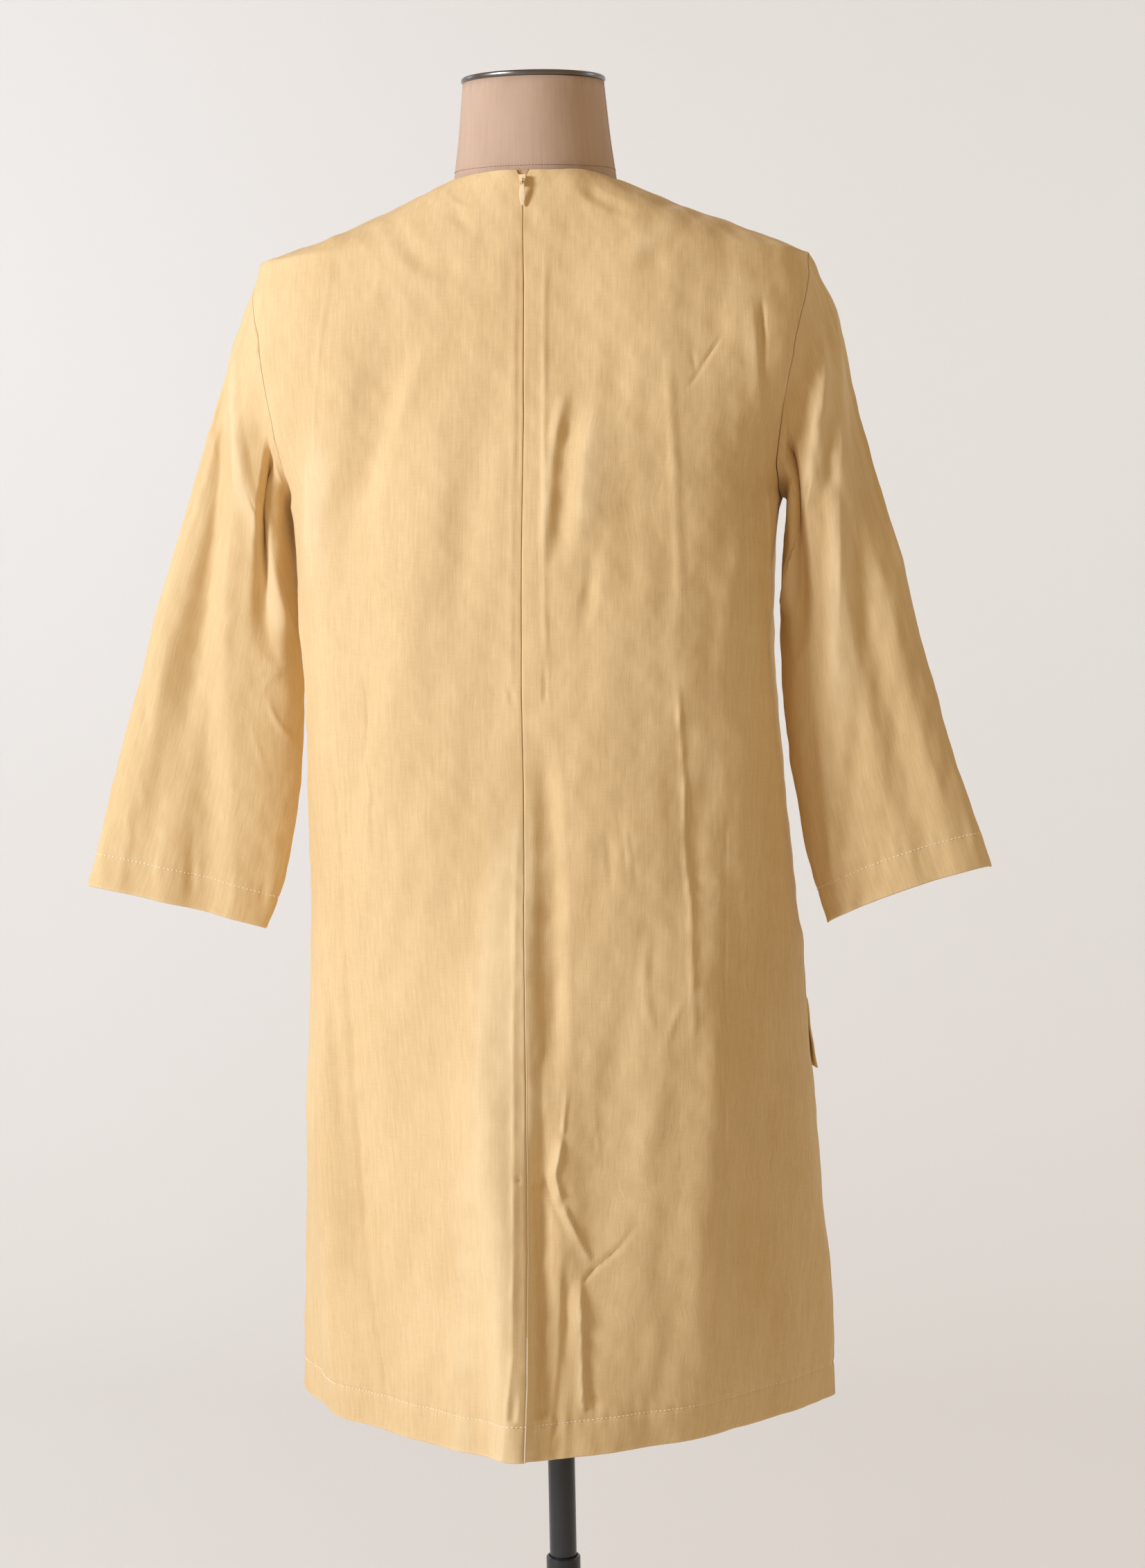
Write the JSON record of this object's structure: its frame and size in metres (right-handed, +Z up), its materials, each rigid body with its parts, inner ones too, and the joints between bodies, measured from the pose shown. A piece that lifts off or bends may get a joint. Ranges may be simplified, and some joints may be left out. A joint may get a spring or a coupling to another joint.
{
  "type": "mini dress on a dress form",
  "caption": "A-line mini dress with set-in three-quarter sleeves, back zip and hip flaps, hanging on a limbless dress form with a telescopic stand.",
  "frame": {"origin": "centre of the underside of the stand's round base, on the floor, under the pole's axis", "axes": "+Z up along the pole; the wearer faces -Y, so +X is the wearer's left and the zip is on the +Y side"},
  "size_m": [0.6578, 0.344, 1.45],
  "materials": {
    "sand_cotton": "matte",
    "zip_tape_sand": "matte",
    "zip_enamel": "satin",
    "form_linen": "matte",
    "cap_steel": "polished",
    "stand_black": "satin"
  },
  "bodies": {
    "stand": {"base": "stand_black", "pole": "stand_black"},
    "figure": {"post": "stand_black", "form_flange": "stand_black", "dress_form": "form_linen", "neck_cap": "cap_steel", "front": "sand_cotton", "back_left": "sand_cotton", "back_right": "sand_cotton", "sleeve_left": "sand_cotton", "sleeve_right": "sand_cotton", "pocket_flap_left": "sand_cotton", "pocket_flap_right": "sand_cotton", "zip_tape": "zip_tape_sand", "zip_slider": "zip_enamel"},
    "zip_pull": {"zip_pull": "zip_enamel"}
  },
  "joints": [
    {"name": "height_slide", "type": "slide", "parent": "stand", "child": "figure", "axis": [0, 0, 1], "range_m": [-0.15, 0.1]},
    {"name": "zip_pull_hinge", "type": "hinge", "parent": "figure", "child": "zip_pull", "pos_m": [0, 0.06385, 1.3727], "axis": [1, 0, 0], "range_deg": [0, 160]}
  ]
}
